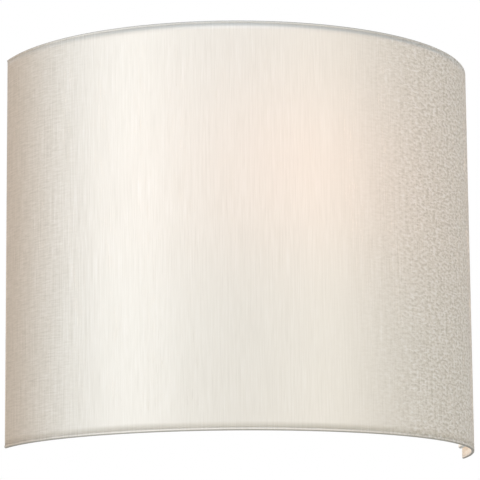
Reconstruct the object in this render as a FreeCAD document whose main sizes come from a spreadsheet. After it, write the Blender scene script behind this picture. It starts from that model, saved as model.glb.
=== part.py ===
import FreeCAD, Part
import math
import os
import re
import Sketcher

# Fabric shade wall light: a half-round fabric shade that clips on a flat steel wall plate.
# The wall is the plane y = 0 and the light stands out towards -Y.  +Z is up.
# The origin is the centre of the wall plate's back face, at the middle of the shade's height.

SIZES = {
    # shade, outside of everything
    "shade_width": 300,
    "shade_height": 242,
    "shade_depth": 135,
    "wall_gap": 2,
    "hem_cloth": 0.6,
    "hem_height": 6,
    "skin_thick": 0.5,
    "liner_thick": 0.5,
    "glue_gap": 0.1,
    "wire_wide": 3,
    # wall plate and its clips
    "plate_width": 90,
    "plate_height": 210,
    "plate_thick": 1.5,
    "plate_corner": 8,
    "wall_hole_wide": 4.5,
    "wall_hole_across": 64,
    "wall_hole_up": 140,
    "clip_thick": 1,
    "clip_wide": 12,
    "clip_across": 60,
    "clip_up": 184,
    "clip_fit": 0.3,
    "clip_grip": 1.2,
    "clip_flare": 1.5,
    # cable entry
    "entry_level": -14,
    "entry_bore": 8,
    "entry_sleeve": 14,
    "entry_flange": 19,
    "entry_flange_thick": 2,
    "entry_fit": 0.1,
    # lamp arm
    "arm_width": 22,
    "arm_thick": 2,
    "arm_top": -66,
    "arm_reach": 80,
    "arm_flange": 40,
    "arm_bend": 3,
    "arm_stud_low": 14,
    "arm_stud_apart": 15,
    # studs, nuts and washers
    "stud_wide": 4,
    "stud_fit": 0.1,
    "nut_flats": 7,
    "nut_thick": 3.2,
    "washer_wide": 9,
    "washer_thick": 0.8,
    "thread_past": 1.5,
    "small_stud_wide": 3,
    "small_nut_flats": 5.5,
    "small_nut_thick": 2.4,
    # terminal block
    "block_level": 42,
    "block_pitch": 10,
    "block_height": 18,
    "block_depth": 14,
    "block_corner": 1.2,
    "barrel_wide": 5,
    "barrel_bore": 2.8,
    "barrel_length": 15,
    "clamp_screw_wide": 2.6,
    "clamp_screw_spread": 8,
    "clamp_screw_sunk": 1.5,
    "slot_wide": 0.5,
    "slot_deep": 0.8,
    "block_fit": 0.1,
    # earth tag
    "earth_out": 26,
    "earth_level": 14,
    "tag_wide": 8,
    "tag_thick": 0.8,
    "tag_neck": 1.1,
    "tag_barrel_wide": 4,
    "tag_barrel_length": 6,
    # leads
    "lead_wide": 2.4,
    "lead_fit": 0.1,
    "lead_side": 16,
    "lead_pair": 3.2,
    "lead_sag": 6,
    "lead_turn": 26,
    # lampholder, on the bulb's axis
    "bulb_out": 66,
    "nipple_wide": 10,
    "nipple_bore": 7,
    "nipple_below": 6,
    "nipple_above": 7,
    "nipple_washer_wide": 16,
    "lock_nut_flats": 14,
    "lock_nut_thick": 3,
    "holder_wide": 40,
    "holder_wall": 2.2,
    "holder_floor": 3,
    "holder_cap_height": 20,
    "holder_sleeve_height": 30,
    "holder_fit": 0.2,
    "carrier_thick": 9,
    "shell_bore": 27.2,
    "shell_thick": 0.5,
    "shell_height": 22,
    "contact_thick": 0.8,
    "contact_wide": 10,
    "contact_rise": 2.2,
    # bulb
    "bulb_fit": 0.3,
    "tip_wide": 9,
    "tip_height": 1,
    "button_height": 4,
    "button_base": 18,
    "button_lip": 1,
    "cap_wide": 26.2,
    "cap_height": 21,
    "cap_shoulder": 3,
    "cap_wall": 0.4,
    "collar_foot": 28,
    "collar_height": 33,
    "collar_wall": 2,
    "globe_wide": 60,
    "globe_rise": 16,
    "globe_wall": 1.2,
    "board_wide": 44,
    "board_thick": 1.6,
    "board_ledge": 3,
    "chip_wide": 3.5,
    "chip_thick": 0.7,
    "chip_ring": 32,
}
LED_COUNT = 8
TOUCHING = 0.01      # mm within which two places of an edge are the same
SLANT = 2            # degrees within which an edge runs along an axis
BEND_SHARE = 0.45    # share of a lead's shorter run that each bend takes

doc = FreeCAD.newDocument("shade_light")
sheet = doc.addObject("Spreadsheet::Sheet", "Sizes")
for row, (word, number) in enumerate(SIZES.items(), start=1):
    sheet.set(f"A{row}", word)
    sheet.set(f"B{row}", str(number))
    sheet.setAlias(f"B{row}", word)
doc.recompute()

NODES = []


def value(text):
    """The number that an expression in the sheet's words has now."""
    result = sheet.evalExpression(text)
    return float(getattr(result, "Value", result))


def bound(text):
    """The same expression as an object of the document reads it."""
    return re.sub(r"[a-z_]+", lambda m: "Sizes." + m[0] if m[0] in SIZES else m[0], text)


def keep(thing, label):
    """Name a finished sub-part, which is written to a file of that name."""
    thing.Label = label
    NODES.append(thing)
    return thing


def place(thing, x="0", y="0", z="0", axis=(0, 0, 1), turn="0"):
    """Put a sub-part where three expressions say, turned about an axis through its origin."""
    rotation = FreeCAD.Rotation(FreeCAD.Vector(*axis), value(turn))
    thing.Placement = FreeCAD.Placement(FreeCAD.Vector(), rotation)
    for letter, text in zip("xyz", (x, y, z)):
        thing.setExpression(f"Placement.Base.{letter}", bound(text))
    if turn != "0":
        thing.setExpression("Placement.Rotation.Angle", bound(turn))


def new_body(label):
    return keep(doc.addObject("PartDesign::Body", label), label)


def new_sketch(body, role, name):
    sketch = body.newObject("Sketcher::SketchObject", name)
    plane = next(item for item in body.Origin.OriginFeatures if item.Role == role)
    sketch.AttachmentSupport = (plane, [""])
    sketch.MapMode = "FlatFace"
    return sketch


def pin(sketch, geometry, point, x, y):
    """Hold a point of the sketch at two expressions measured from the sketch's origin."""
    for kind, text in (("DistanceX", x), ("DistanceY", y)):
        rule = sketch.addConstraint(Sketcher.Constraint(kind, -1, 1, geometry, point, value(text)))
        sketch.setExpression(f"Constraints[{rule}]", bound(text))


def polygon(sketch, points):
    """A closed outline of straight lines through pairs of expressions."""
    first = sketch.GeometryCount
    spots = [FreeCAD.Vector(value(x), value(y), 0) for x, y in points]
    for start, end in zip(spots, spots[1:] + spots[:1]):
        sketch.addGeometry(Part.LineSegment(start, end), False)
    for index, (x, y) in enumerate(points):
        following = first + (index + 1) % len(points)
        sketch.addConstraint(Sketcher.Constraint("Coincident", first + index, 2, following, 1))
        pin(sketch, first + index, 1, x, y)


def circle(sketch, x, y, wide):
    centre = FreeCAD.Vector(value(x), value(y), 0)
    round_line = Part.Circle(centre, FreeCAD.Vector(0, 0, 1), value(wide) / 2)
    index = sketch.addGeometry(round_line, False)
    pin(sketch, index, 3, x, y)
    rule = sketch.addConstraint(Sketcher.Constraint("Diameter", index, value(wide)))
    sketch.setExpression(f"Constraints[{rule}]", bound(wide))


def rectangle(left, right, low, high):
    return [(left, low), (right, low), (right, high), (left, high)]


def pad(body, sketch, length, middle=False):
    feature = body.newObject("PartDesign::Pad", sketch.Name + "_pad")
    feature.Profile = sketch
    feature.setExpression("Length", bound(length))
    feature.SideType = "Symmetric" if middle else "One side"
    doc.recompute()
    return feature


def cut_through(body, sketch):
    """Cut the sketch's outline through the whole body, both ways."""
    before = body.Shape.Volume
    feature = body.newObject("PartDesign::Pocket", sketch.Name + "_cut")
    feature.Profile = sketch
    feature.Type = "ThroughAll"
    feature.SideType = "Symmetric"
    doc.recompute()
    if body.Shape.Volume >= before:
        raise RuntimeError(f"{body.Label}: a cut took nothing away")
    return feature


def cut_one_way(body, sketch, depth, away=False):
    """Cut the sketch's outline to a depth on one side of its plane."""
    before = body.Shape.Volume
    feature = body.newObject("PartDesign::Pocket", sketch.Name + "_cut")
    feature.Profile = sketch
    feature.setExpression("Length", bound(depth))
    feature.Reversed = away
    doc.recompute()
    if body.Shape.Volume >= before:
        raise RuntimeError(f"{body.Label}: a cut took nothing away")
    return feature


def revolve(body, points, angle="360", middle=False, away=False):
    """Turn an outline of (radius, height) pairs about the body's own Z axis."""
    sketch = new_sketch(body, "XZ_Plane", "outline")
    polygon(sketch, points)
    return turn_sketch(body, sketch, angle, middle, away)


def turn_sketch(body, sketch, angle, middle=False, away=False):
    feature = body.newObject("PartDesign::Revolution", sketch.Name + "_turn")
    feature.Profile = sketch
    feature.ReferenceAxis = (sketch, ["V_Axis"])
    if angle != "360":
        feature.setExpression("Angle", bound(angle))
    feature.Midplane = middle
    feature.Reversed = away
    doc.recompute()
    return feature


def round_edges(body, radius, chosen):
    """Round the edges of the body's last feature for which chosen(edge) is true."""
    base = body.Tip
    names = [f"Edge{i}" for i, edge in enumerate(base.Shape.Edges, start=1) if chosen(edge)]
    feature = body.newObject("PartDesign::Fillet", "rounded")
    feature.Base = (base, names)
    feature.setExpression("Radius", bound(radius))
    doc.recompute()
    return feature


def along(edge, axis):
    """True for a straight edge that runs along the axis numbered 0, 1 or 2."""
    if not isinstance(edge.Curve, Part.Line):
        return False
    return abs(edge.Curve.Direction[axis]) > math.cos(math.radians(SLANT))


def turned(label, points, x="0", y="0", z="0", outward=False):
    """A round piece.  Outward pieces have their axis square to the wall, with height as distance."""
    body = new_body(label)
    revolve(body, points)
    if outward:
        place(body, x, y, z, (1, 0, 0), "90")
    else:
        place(body, x, y, z)
    return body


def hexagon(sketch, flats):
    corner = f"({flats} / 2 / cos(30))"
    polygon(sketch, [(f"{corner} * cos({60 * i})", f"{corner} * sin({60 * i})") for i in range(6)])


def nut(label, flats, thick, bore, x, y, z, outward):
    body = new_body(label)
    sketch = new_sketch(body, "XY_Plane", "flats")
    hexagon(sketch, flats)
    circle(sketch, "0", "0", bore)
    pad(body, sketch, thick)
    place(body, x, y, z, (1, 0, 0), "90" if outward else "0")
    return body


def copies(label, master, places):
    """One sub-part made of identical solids, each a copy of the master moved by three expressions."""
    NODES.remove(master)
    links = []
    for index, (x, y, z) in enumerate(places, start=1):
        link = doc.addObject("App::Link", f"{label}_{index}")
        link.LinkedObject = master
        link.LinkTransform = True
        place(link, x, y, z)
        links.append(link)
    compound = doc.addObject("Part::Compound", label + "_set")
    compound.Links = links
    return keep(compound, label)


# ---------------------------------------------------------------- places worked out from the sizes

ARC_RADIUS = "((shade_width / 2)^2 + shade_depth^2) / (2 * shade_depth)"
ARC_CENTRE = f"({ARC_RADIUS} - shade_depth - wall_gap)"
HALF_ARC = f"asin(shade_width / 2 / ({ARC_RADIUS}))"
PLATE_FRONT = "plate_thick"
BAR_OUT = "(plate_thick + clip_thick + clip_fit + wire_wide / 2)"
SKIN_OUTSIDE = f"({ARC_RADIUS})"
LINER_OUTSIDE = f"({SKIN_OUTSIDE} - skin_thick - glue_gap)"
HEM_INSIDE = f"({LINER_OUTSIDE} - liner_thick - glue_gap - hem_cloth)"
RING_RADIUS = f"({HEM_INSIDE} - glue_gap - wire_wide / 2)"
RING_LEVEL = "(shade_height / 2 - hem_height - glue_gap - wire_wide / 2)"
RING_HALF_ARC = f"acos(({ARC_CENTRE} + {BAR_OUT}) / {RING_RADIUS})"
UPRIGHT_SIDE = f"({RING_RADIUS} * sin({RING_HALF_ARC}))"
EDGE_STRIP_ARC = f"(hem_cloth / ({ARC_RADIUS}) * 1 rad)"
SKIN_HALF_ARC = f"({HALF_ARC} - 2 * {EDGE_STRIP_ARC})"
ARM_LOW = "(arm_top - arm_thick)"
HOLDER_TOP = "(arm_top + holder_cap_height + holder_sleeve_height)"
CARRIER_LOW = "(arm_top + holder_cap_height - carrier_thick / 2)"
CARRIER_TOP = f"({CARRIER_LOW} + carrier_thick)"
TIP_LOW = f"({CARRIER_TOP} + contact_thick + contact_rise + bulb_fit)"
BUTTON_LOW = f"({TIP_LOW} + tip_height)"
CAP_LOW = f"({BUTTON_LOW} + button_height)"
CAP_TOP = f"({CAP_LOW} + cap_height)"
COLLAR_TOP = f"({CAP_TOP} + collar_height)"
GLOBE_LEVEL = f"({COLLAR_TOP} + globe_rise)"
BOARD_LOW = f"({COLLAR_TOP} - board_ledge)"


# ---------------------------------------------------------------- wall plate and what is on it

def wall_plate():
    body = new_body("wall_plate")
    sketch = new_sketch(body, "XZ_Plane", "sheet_outline")
    half_wide, half_high = "plate_width / 2", "plate_height / 2"
    polygon(sketch, rectangle("-" + half_wide, half_wide, "-" + half_high, half_high))
    pad(body, sketch, "plate_thick")
    round_edges(body, "plate_corner", lambda edge: along(edge, 1))
    holes = new_sketch(body, "XZ_Plane", "plate_holes")
    for side in ("-", ""):
        for level in ("-", ""):
            circle(holes, side + "wall_hole_across / 2", level + "wall_hole_up / 2", "wall_hole_wide")
    circle(holes, "0", "entry_level", "entry_sleeve")
    cut_through(body, holes)


def shade_clip(label, side, level):
    """A spring clip, open to the front, that grips one of the shade's clip bars."""
    body = new_body(label)
    sketch = new_sketch(body, "YZ_Plane", "leaf")
    seat, base = "-plate_thick", "-(plate_thick + clip_thick)"
    mouth = f"-({BAR_OUT} + wire_wide / 2 + clip_grip)"
    lip = f"{mouth} - clip_flare"
    inner = "(wire_wide / 2 + clip_fit)"
    outer = f"({inner} + clip_thick)"
    upper = [(seat, outer), (mouth, outer), (lip, f"{outer} + clip_flare"),
             (lip, f"{inner} + clip_flare"), (mouth, inner), (base, inner)]
    lower = [(out, f"-({up})") for out, up in reversed(upper)]
    polygon(sketch, upper + lower)
    pad(body, sketch, "clip_wide", middle=True)
    place(body, side + "clip_across / 2", "0", level + "clip_up / 2")


def cable_grommet():
    bore, sleeve = "entry_bore / 2", "(entry_sleeve / 2 - entry_fit)"
    flange, front = "entry_flange / 2", "(plate_thick + entry_flange_thick)"
    turned("cable_grommet", [(bore, "0"), (sleeve, "0"), (sleeve, "plate_thick"),
                             (flange, "plate_thick"), (flange, front), (bore, front)],
           z="entry_level", outward=True)


def stud(label, wide, length, x, z):
    return turned(label, rectangle("0", f"({wide} / 2 - stud_fit / 2)", "0", length),
                  x, f"-{PLATE_FRONT}", z, outward=True)


ARM_STUD_LEVELS = ("arm_top + arm_stud_low", "arm_top + arm_stud_low + arm_stud_apart")


def lamp_arm():
    body = new_body("lamp_arm")
    sketch = new_sketch(body, "YZ_Plane", "strip_edge")
    wall, front, tip = "-plate_thick", "-(plate_thick + arm_thick)", "-arm_reach"
    high = "(arm_top + arm_flange)"
    polygon(sketch, [(wall, high), (front, high), (front, "arm_top"), (tip, "arm_top"),
                     (tip, ARM_LOW), (wall, ARM_LOW)])
    pad(body, sketch, "arm_width", middle=True)

    def inner_bend(edge):
        middle = edge.CenterOfMass
        return (along(edge, 0) and abs(middle.y - value(front)) < TOUCHING
                and abs(middle.z - value("arm_top")) < TOUCHING)

    def outer_bend(edge):
        middle = edge.CenterOfMass
        return (along(edge, 0) and abs(middle.y - value(wall)) < TOUCHING
                and abs(middle.z - value(ARM_LOW)) < TOUCHING)

    round_edges(body, "arm_bend", inner_bend)
    round_edges(body, "arm_bend + arm_thick", outer_bend)
    round_edges(body, "(arm_width - arm_thick) / 2", lambda edge: along(edge, 2)
                and abs(edge.CenterOfMass.y - value(tip)) < TOUCHING)
    stud_holes = new_sketch(body, "XZ_Plane", "stud_holes")
    for level in ARM_STUD_LEVELS:
        circle(stud_holes, "0", level, "stud_wide + 2 * stud_fit")
    cut_one_way(body, stud_holes, "2 * (plate_thick + arm_thick)", away=True)
    nipple_hole = new_sketch(body, "XY_Plane", "nipple_hole")
    circle(nipple_hole, "0", "-bulb_out", "nipple_wide + 2 * stud_fit")
    cut_through(body, nipple_hole)


def arm_fixing():
    """Two welded studs, each with a washer and a nut, hold the arm on the plate."""
    places = [("0", "0", level) for level in ARM_STUD_LEVELS]
    length = "(arm_thick + washer_thick + nut_thick + thread_past)"
    copies("arm_studs", stud("arm_stud", "stud_wide", length, "0", "0"), places)
    hole = "stud_wide / 2 + stud_fit"
    arm_front = "-(plate_thick + arm_thick)"
    washer = turned("arm_washer", rectangle(hole, "washer_wide / 2", "0", "washer_thick"),
                    y=arm_front, outward=True)
    copies("arm_washers", washer, places)
    arm_nut = nut("arm_nut", "nut_flats", "nut_thick", "stud_wide + stud_fit",
                  "0", f"{arm_front} - washer_thick", "0", True)
    copies("arm_nuts", arm_nut, places)


# ---------------------------------------------------------------- terminal block and earth

BARREL_OUT = "(plate_thick + block_depth / 2)"
BLOCK_FRONT = "(plate_thick + block_depth)"
WAYS = ("-block_pitch", "0", "block_pitch")
CLAMP_LEVELS = ("-clamp_screw_spread / 2", "clamp_screw_spread / 2")
CLAMP_TIP = f"({BARREL_OUT} + lead_wide / 2 + lead_fit / 2)"


def terminal_block():
    body = new_body("terminal_block")
    sketch = new_sketch(body, "XZ_Plane", "block_outline")
    half_wide, half_high = "1.5 * block_pitch", "block_height / 2"
    polygon(sketch, rectangle("-" + half_wide, half_wide, "-" + half_high, half_high))
    pad(body, sketch, "block_depth")
    round_edges(body, "block_corner", lambda edge: along(edge, 2))
    barrels = new_sketch(body, "XY_Plane", "barrel_holes")
    for way in WAYS:
        circle(barrels, way, "-block_depth / 2", "barrel_wide + 2 * block_fit")
    cut_through(body, barrels)
    openings = new_sketch(body, "XZ_Plane", "screw_holes")
    for way in WAYS:
        for level in CLAMP_LEVELS:
            circle(openings, way, level, "clamp_screw_wide + 4 * block_fit")
    openings.AttachmentOffset = FreeCAD.Placement(FreeCAD.Vector(0, 0, 1), FreeCAD.Rotation())
    openings.setExpression("AttachmentOffset.Base.z", bound("block_depth / 2"))
    cut_one_way(body, openings, "block_depth", away=True)
    fixing = new_sketch(body, "XZ_Plane", "fixing_hole")
    circle(fixing, "block_pitch / 2", "0", "small_stud_wide + 2 * block_fit")
    cut_through(body, fixing)
    place(body, "0", "-plate_thick", "block_level")


def clamp_screw():
    """A small slotted screw that presses a lead in its barrel."""
    length = f"({BLOCK_FRONT} - clamp_screw_sunk - {CLAMP_TIP})"
    body = turned("clamp_screw", rectangle("0", "clamp_screw_wide / 2", "0", length),
                  y=f"-{CLAMP_TIP}", outward=True)
    slot = new_sketch(body, "XY_Plane", "screw_slot")
    polygon(slot, rectangle("-clamp_screw_wide", "clamp_screw_wide", "-slot_wide / 2", "slot_wide / 2"))
    slot.AttachmentOffset = FreeCAD.Placement(FreeCAD.Vector(0, 0, 1), FreeCAD.Rotation())
    slot.setExpression("AttachmentOffset.Base.z", bound(f"{length} - slot_deep"))
    cut_one_way(body, slot, "2 * slot_deep", away=True)
    return body


def terminal_metal():
    barrel = new_body("terminal_barrel")
    half = "barrel_length / 2"
    revolve(barrel, rectangle("barrel_bore / 2", "barrel_wide / 2", "-" + half, half))
    tapped = new_sketch(barrel, "XZ_Plane", "tapped_holes")
    for level in CLAMP_LEVELS:
        circle(tapped, "0", level, "clamp_screw_wide + block_fit")
    cut_one_way(barrel, tapped, "barrel_wide", away=True)
    place(barrel)
    copies("terminal_barrels", barrel, [(way, f"-{BARREL_OUT}", "block_level") for way in WAYS])
    places = [(way, "0", f"block_level + {level}") for way in WAYS for level in CLAMP_LEVELS]
    copies("terminal_screws", clamp_screw(), places)
    stud("terminal_stud", "small_stud_wide", "(block_depth + small_nut_thick + thread_past)",
         "block_pitch / 2", "block_level")
    nut("terminal_nut", "small_nut_flats", "small_nut_thick", "small_stud_wide + stud_fit",
        "block_pitch / 2", f"-{BLOCK_FRONT}", "block_level", True)


def earth_point():
    """A welded stud with the earth lead's crimped ring tag between the plate and a nut."""
    stud("earth_stud", "stud_wide", "(tag_thick + washer_thick + nut_thick + thread_past)",
         "-earth_out", "earth_level")
    tag = new_body("earth_tag")
    ring = new_sketch(tag, "XZ_Plane", "ring")
    circle(ring, "0", "0", "tag_wide")
    pad(tag, ring, "tag_thick")
    tongue = new_sketch(tag, "XZ_Plane", "tongue")
    half = "tag_barrel_wide / 2"
    polygon(tongue, rectangle("0", "tag_wide / 2 + tag_barrel_length", "-" + half, half))
    pad(tag, tongue, "tag_thick")
    barrel = new_sketch(tag, "YZ_Plane", "crimp")
    level = "-(tag_barrel_wide / 2)"
    circle(barrel, level, "0", "tag_barrel_wide")
    barrel.AttachmentOffset = FreeCAD.Placement(FreeCAD.Vector(0, 0, 1), FreeCAD.Rotation())
    barrel.setExpression("AttachmentOffset.Base.z", bound("tag_wide / 2 + tag_neck"))
    pad(tag, barrel, "tag_barrel_length - tag_neck")
    bore = new_sketch(tag, "YZ_Plane", "crimp_bore")
    circle(bore, level, "0", "lead_wide + lead_fit")
    bore.AttachmentOffset = barrel.AttachmentOffset
    bore.setExpression("AttachmentOffset.Base.z", bound("tag_wide / 2 + tag_neck"))
    cut_one_way(tag, bore, "tag_barrel_length", away=True)
    hole = new_sketch(tag, "XZ_Plane", "tag_hole")
    circle(hole, "0", "0", "stud_wide + 2 * stud_fit")
    cut_through(tag, hole)
    place(tag, "-earth_out", "-plate_thick", "earth_level")
    tag_front = "-(plate_thick + tag_thick)"
    turned("earth_washer", rectangle("stud_wide / 2 + stud_fit", "washer_wide / 2 - washer_thick",
                                     "0", "washer_thick"),
           "-earth_out", tag_front, "earth_level", outward=True)
    nut("earth_nut", "nut_flats", "nut_thick", "stud_wide + stud_fit",
        "-earth_out", f"{tag_front} - washer_thick", "earth_level", True)


def lead(label, route):
    """An insulated lead along straight runs joined by tangent arcs."""
    spots = [FreeCAD.Vector(*(value(text) for text in point)) for point in route]
    edges, at = [], spots[0]
    radii = []
    for before, corner, after in zip(spots, spots[1:], spots[2:]):
        inward, outward = (before - corner), (after - corner)
        short = min(inward.Length, outward.Length)
        inward.normalize()
        outward.normalize()
        turn = math.pi - inward.getAngle(outward)
        cut = BEND_SHARE * short
        radii.append(cut / math.tan(turn / 2))
        start, end = corner + inward * cut, corner + outward * cut
        middle_way = (inward + outward).normalize()
        middle = corner + middle_way * (radii[-1] / math.cos(turn / 2) - radii[-1])
        edges.append(Part.LineSegment(at, start).toShape())
        edges.append(Part.Arc(start, middle, end).toShape())
        at = end
    edges.append(Part.LineSegment(at, spots[-1]).toShape())
    path = Part.Wire(edges)
    section = Part.Wire(Part.Circle(spots[0], spots[1] - spots[0], value("lead_wide") / 2).toShape())
    solid = path.makePipeShell([section], True, False)
    wanted = math.pi * value("lead_wide") ** 2 / 4 * path.Length
    print(label, "radii", [round(radius, 1) for radius in radii], "volume ratio",
          round(solid.Volume / wanted, 4), "length", round(path.Length, 1))
    feature = doc.addObject("Part::Feature", label)
    feature.Shape = solid
    feature.Placement = FreeCAD.Placement()
    keep(feature, label)


def leads():
    barrel = f"-{BARREL_OUT}"
    lead_start = "block_level - barrel_length / 4"
    below_block = "block_level - block_height"
    near_plate = "-(plate_thick + lead_wide)"
    under_arm = f"({ARM_LOW} - nipple_below - lead_sag)"
    for label, side, way in (("live_lead", "-", "0"), ("neutral_lead", "", "block_pitch")):
        beside, paired = side + "lead_side", side + "lead_pair / 2"
        lead(label, [(way, barrel, lead_start), (way, barrel, below_block),
                     (beside, near_plate, "entry_level - entry_flange / 2"),
                     (beside, near_plate, "arm_top + arm_stud_low"),
                     (beside, f"{near_plate} - 2 * lead_wide", under_arm),
                     (paired, "-(bulb_out - lead_turn)", under_arm),
                     (paired, "-bulb_out", under_arm),
                     (paired, "-bulb_out", f"{CARRIER_LOW} - lead_fit")])
    tag_end = "-(earth_out - tag_wide / 2 - tag_neck)"
    tag_out = "-(plate_thick + tag_barrel_wide / 2)"
    lead("earth_lead", [("-block_pitch", barrel, lead_start),
                        ("-block_pitch", barrel, "block_level - block_height"),
                        ("-block_pitch", tag_out, "earth_level"),
                        (tag_end, tag_out, "earth_level")])


# ---------------------------------------------------------------- lampholder

def lampholder():
    axis = "-bulb_out"
    tube, bore = "(nipple_wide / 2 - stud_fit / 2)", "nipple_bore / 2"
    turned("arm_nipple", rectangle(bore, tube, f"{ARM_LOW} - nipple_below", "arm_top + nipple_above"),
           y=axis)
    nut("nipple_nut", "lock_nut_flats", "lock_nut_thick", "nipple_wide + stud_fit",
        "0", axis, f"{ARM_LOW} - lock_nut_thick - washer_thick", False)
    turned("nipple_washer", rectangle("nipple_wide / 2 + stud_fit", "nipple_washer_wide / 2",
                                      f"{ARM_LOW} - washer_thick", ARM_LOW), y=axis)
    outside, inside = "holder_wide / 2", "(holder_wide / 2 - holder_wall)"
    floor, cap_top = "(arm_top + holder_floor)", "(arm_top + holder_cap_height)"
    neck = "(nipple_wide / 2 + stud_fit / 2)"
    turned("holder_cap", [(neck, "arm_top"), (outside + " - holder_floor", "arm_top"),
                          (outside, floor), (outside, cap_top), (inside, cap_top),
                          (inside, floor), (neck, floor)], y=axis)
    turned("holder_sleeve", rectangle(inside, outside, cap_top, HOLDER_TOP), y=axis)
    carrier = f"({inside} - holder_fit)"
    turned("lamp_carrier", rectangle("0", carrier, CARRIER_LOW, CARRIER_TOP), y=axis)
    shell = "shell_bore / 2"
    turned("thread_shell", rectangle(shell, f"{shell} + shell_thick", CARRIER_TOP,
                                     f"{CARRIER_TOP} + shell_height"), y=axis)
    contact_high = f"({CARRIER_TOP} + contact_thick + contact_rise)"
    rim = "contact_wide / 2"
    turned("centre_contact", [("0", contact_high), (rim + " - contact_rise", contact_high),
                              (rim, f"{CARRIER_TOP} + contact_thick"), (rim, CARRIER_TOP),
                              ("0", CARRIER_TOP)], y=axis)


# ---------------------------------------------------------------- bulb

def bulb():
    axis = "-bulb_out"
    tip, base, cap = "tip_wide / 2", "button_base / 2", "cap_wide / 2"
    turned("bulb_tip", rectangle("0", tip, TIP_LOW, BUTTON_LOW), y=axis)
    turned("cap_insulator", [("0", BUTTON_LOW), (tip + " + button_lip", BUTTON_LOW), (base, CAP_LOW),
                             ("0", CAP_LOW)], y=axis)
    inside = f"({cap} - cap_wall)"
    shoulder, floor = f"{CAP_LOW} + cap_shoulder", f"{CAP_LOW} + cap_wall"
    turned("bulb_cap", [("0", CAP_LOW), (base, CAP_LOW), (cap, shoulder), (cap, CAP_TOP),
                        (inside, CAP_TOP), (inside, shoulder), (base, floor), ("0", floor)], y=axis)
    collar()
    disc = "board_wide / 2"
    turned("led_board", rectangle("0", disc, BOARD_LOW, f"{BOARD_LOW} + board_thick"), y=axis)
    chip = new_body("led_chip")
    sketch = new_sketch(chip, "XY_Plane", "chip")
    half = "chip_wide / 2"
    polygon(sketch, rectangle("-" + half, half, "-" + half, half))
    pad(chip, sketch, "chip_thick")
    place(chip)
    step = 360 / LED_COUNT
    ring = [(f"chip_ring / 2 * cos({step * i})", f"-bulb_out + chip_ring / 2 * sin({step * i})",
             f"{BOARD_LOW} + board_thick") for i in range(LED_COUNT)]
    copies("led_chips", chip, ring)
    globe()


def collar():
    """The tapered plastic body between the screw cap and the globe, with a ledge for the board."""
    foot, seam = "collar_foot / 2", "sqrt((globe_wide / 2)^2 - globe_rise^2)"
    ledge = "(board_wide / 2 + bulb_fit)"
    deep = f"({COLLAR_TOP} - board_ledge)"
    turned("bulb_collar", [("0", CAP_TOP), (foot, CAP_TOP), (seam, COLLAR_TOP), (ledge, COLLAR_TOP),
                           (ledge, deep), (f"({ledge} - 2 * collar_wall)", deep),
                           ("(collar_foot / 2 - collar_wall)", f"{CAP_TOP} + collar_wall"),
                           ("0", f"{CAP_TOP} + collar_wall")], y="-bulb_out")


def globe():
    """The opal globe, a thin sphere open at the collar."""
    body = new_body("bulb_globe")
    sketch = new_sketch(body, "XZ_Plane", "globe_wall")
    outer, inner = "globe_wide / 2", "(globe_wide / 2 - globe_wall)"
    level = value(GLOBE_LEVEL)
    centre = FreeCAD.Vector(0, level, 0)
    up = FreeCAD.Vector(0, 0, 1)
    for radius, index in ((outer, 0), (inner, 1)):
        start = -math.asin(value("globe_rise") / value(radius))
        arc = Part.ArcOfCircle(Part.Circle(centre, up, value(radius)), start, math.pi / 2)
        sketch.addGeometry(arc, False)
        pin(sketch, index, 3, "0", GLOBE_LEVEL)
        rule = sketch.addConstraint(Sketcher.Constraint("Radius", index, value(radius)))
        sketch.setExpression(f"Constraints[{rule}]", bound(radius))
    for point, (text_x, text_y) in ((1, (None, COLLAR_TOP)), (2, ("0", None))):
        for index in (0, 1):
            if text_y is not None:
                level_rule = Sketcher.Constraint("DistanceY", -1, 1, index, point, value(text_y))
                rule = sketch.addConstraint(level_rule)
                sketch.setExpression(f"Constraints[{rule}]", bound(text_y))
            else:
                sketch.addConstraint(Sketcher.Constraint("PointOnObject", index, point, -2))
    for point in (1, 2):
        ends = [sketch.getPoint(index, point) for index in (0, 1)]
        line = sketch.addGeometry(Part.LineSegment(*ends), False)
        for end, index in ((1, 0), (2, 1)):
            sketch.addConstraint(Sketcher.Constraint("Coincident", line, end, index, point))
    turn_sketch(body, sketch, "360")
    place(body, "0", "-bulb_out", "0")


# ---------------------------------------------------------------- shade

def arc_piece(label, points, half_arc):
    """A piece bent round the shade's axis, the same amount to both sides of the front."""
    body = new_body(label)
    revolve(body, points, f"2 * {half_arc}", middle=True)
    place(body, "0", ARC_CENTRE, "0", (0, 0, -1), "90")
    return body


def shade_cloth():
    """The cloth and, behind it, the film that it is laminated on."""
    edge = "(shade_height / 2 - hem_cloth - glue_gap)"
    for label, outside, thick in (("shade_fabric", SKIN_OUTSIDE, "skin_thick"),
                                  ("shade_liner", LINER_OUTSIDE, "liner_thick")):
        arc_piece(label, rectangle(f"{outside} - {thick}", outside, "-" + edge, edge), SKIN_HALF_ARC)


def rolled_hem(label, side):
    """The cloth turned over the film's edge to the inside and glued down, with a ring next to it."""
    rim, foot = "shade_height / 2", "(shade_height / 2 - hem_height)"
    web = "(shade_height / 2 - hem_cloth)"
    outside, leg = f"({ARC_RADIUS})", f"({HEM_INSIDE} + hem_cloth)"
    points = [(outside, rim), (outside, web), (leg, web), (leg, foot), (HEM_INSIDE, foot),
              (HEM_INSIDE, rim)]
    arc_piece(label, [(radius, side + height) for radius, height in points], HALF_ARC)


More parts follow.
